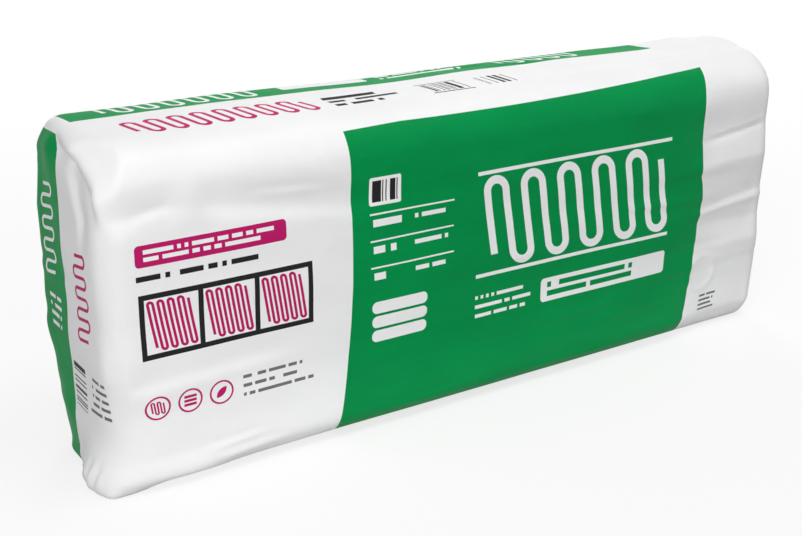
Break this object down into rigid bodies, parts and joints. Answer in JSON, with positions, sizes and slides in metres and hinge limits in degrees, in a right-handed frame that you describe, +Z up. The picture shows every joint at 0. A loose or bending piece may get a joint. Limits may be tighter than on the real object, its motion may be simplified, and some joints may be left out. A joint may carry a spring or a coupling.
{
  "type": "bagged insulation batt pack",
  "caption": "Long sealed film bag of folded, compressed glass-wool insulation batts, standing on its narrow long face, with bulged panels, rounded edges and a folded end corner.",
  "frame": {"origin": "on the floor, under the middle of the bag", "axes": "+X along the pack's length, -Y out of its printed front, +Z up"},
  "size_m": [1.515, 0.3207, 0.584],
  "materials": {
    "film": "white polyethylene film, soft gloss, printed with green panels",
    "batts": "compressed glass wool, matt and fibrous"
  },
  "bodies": {
    "root": {"film_bag": "film", "batt_stack": "batts"}
  },
  "joints": []
}
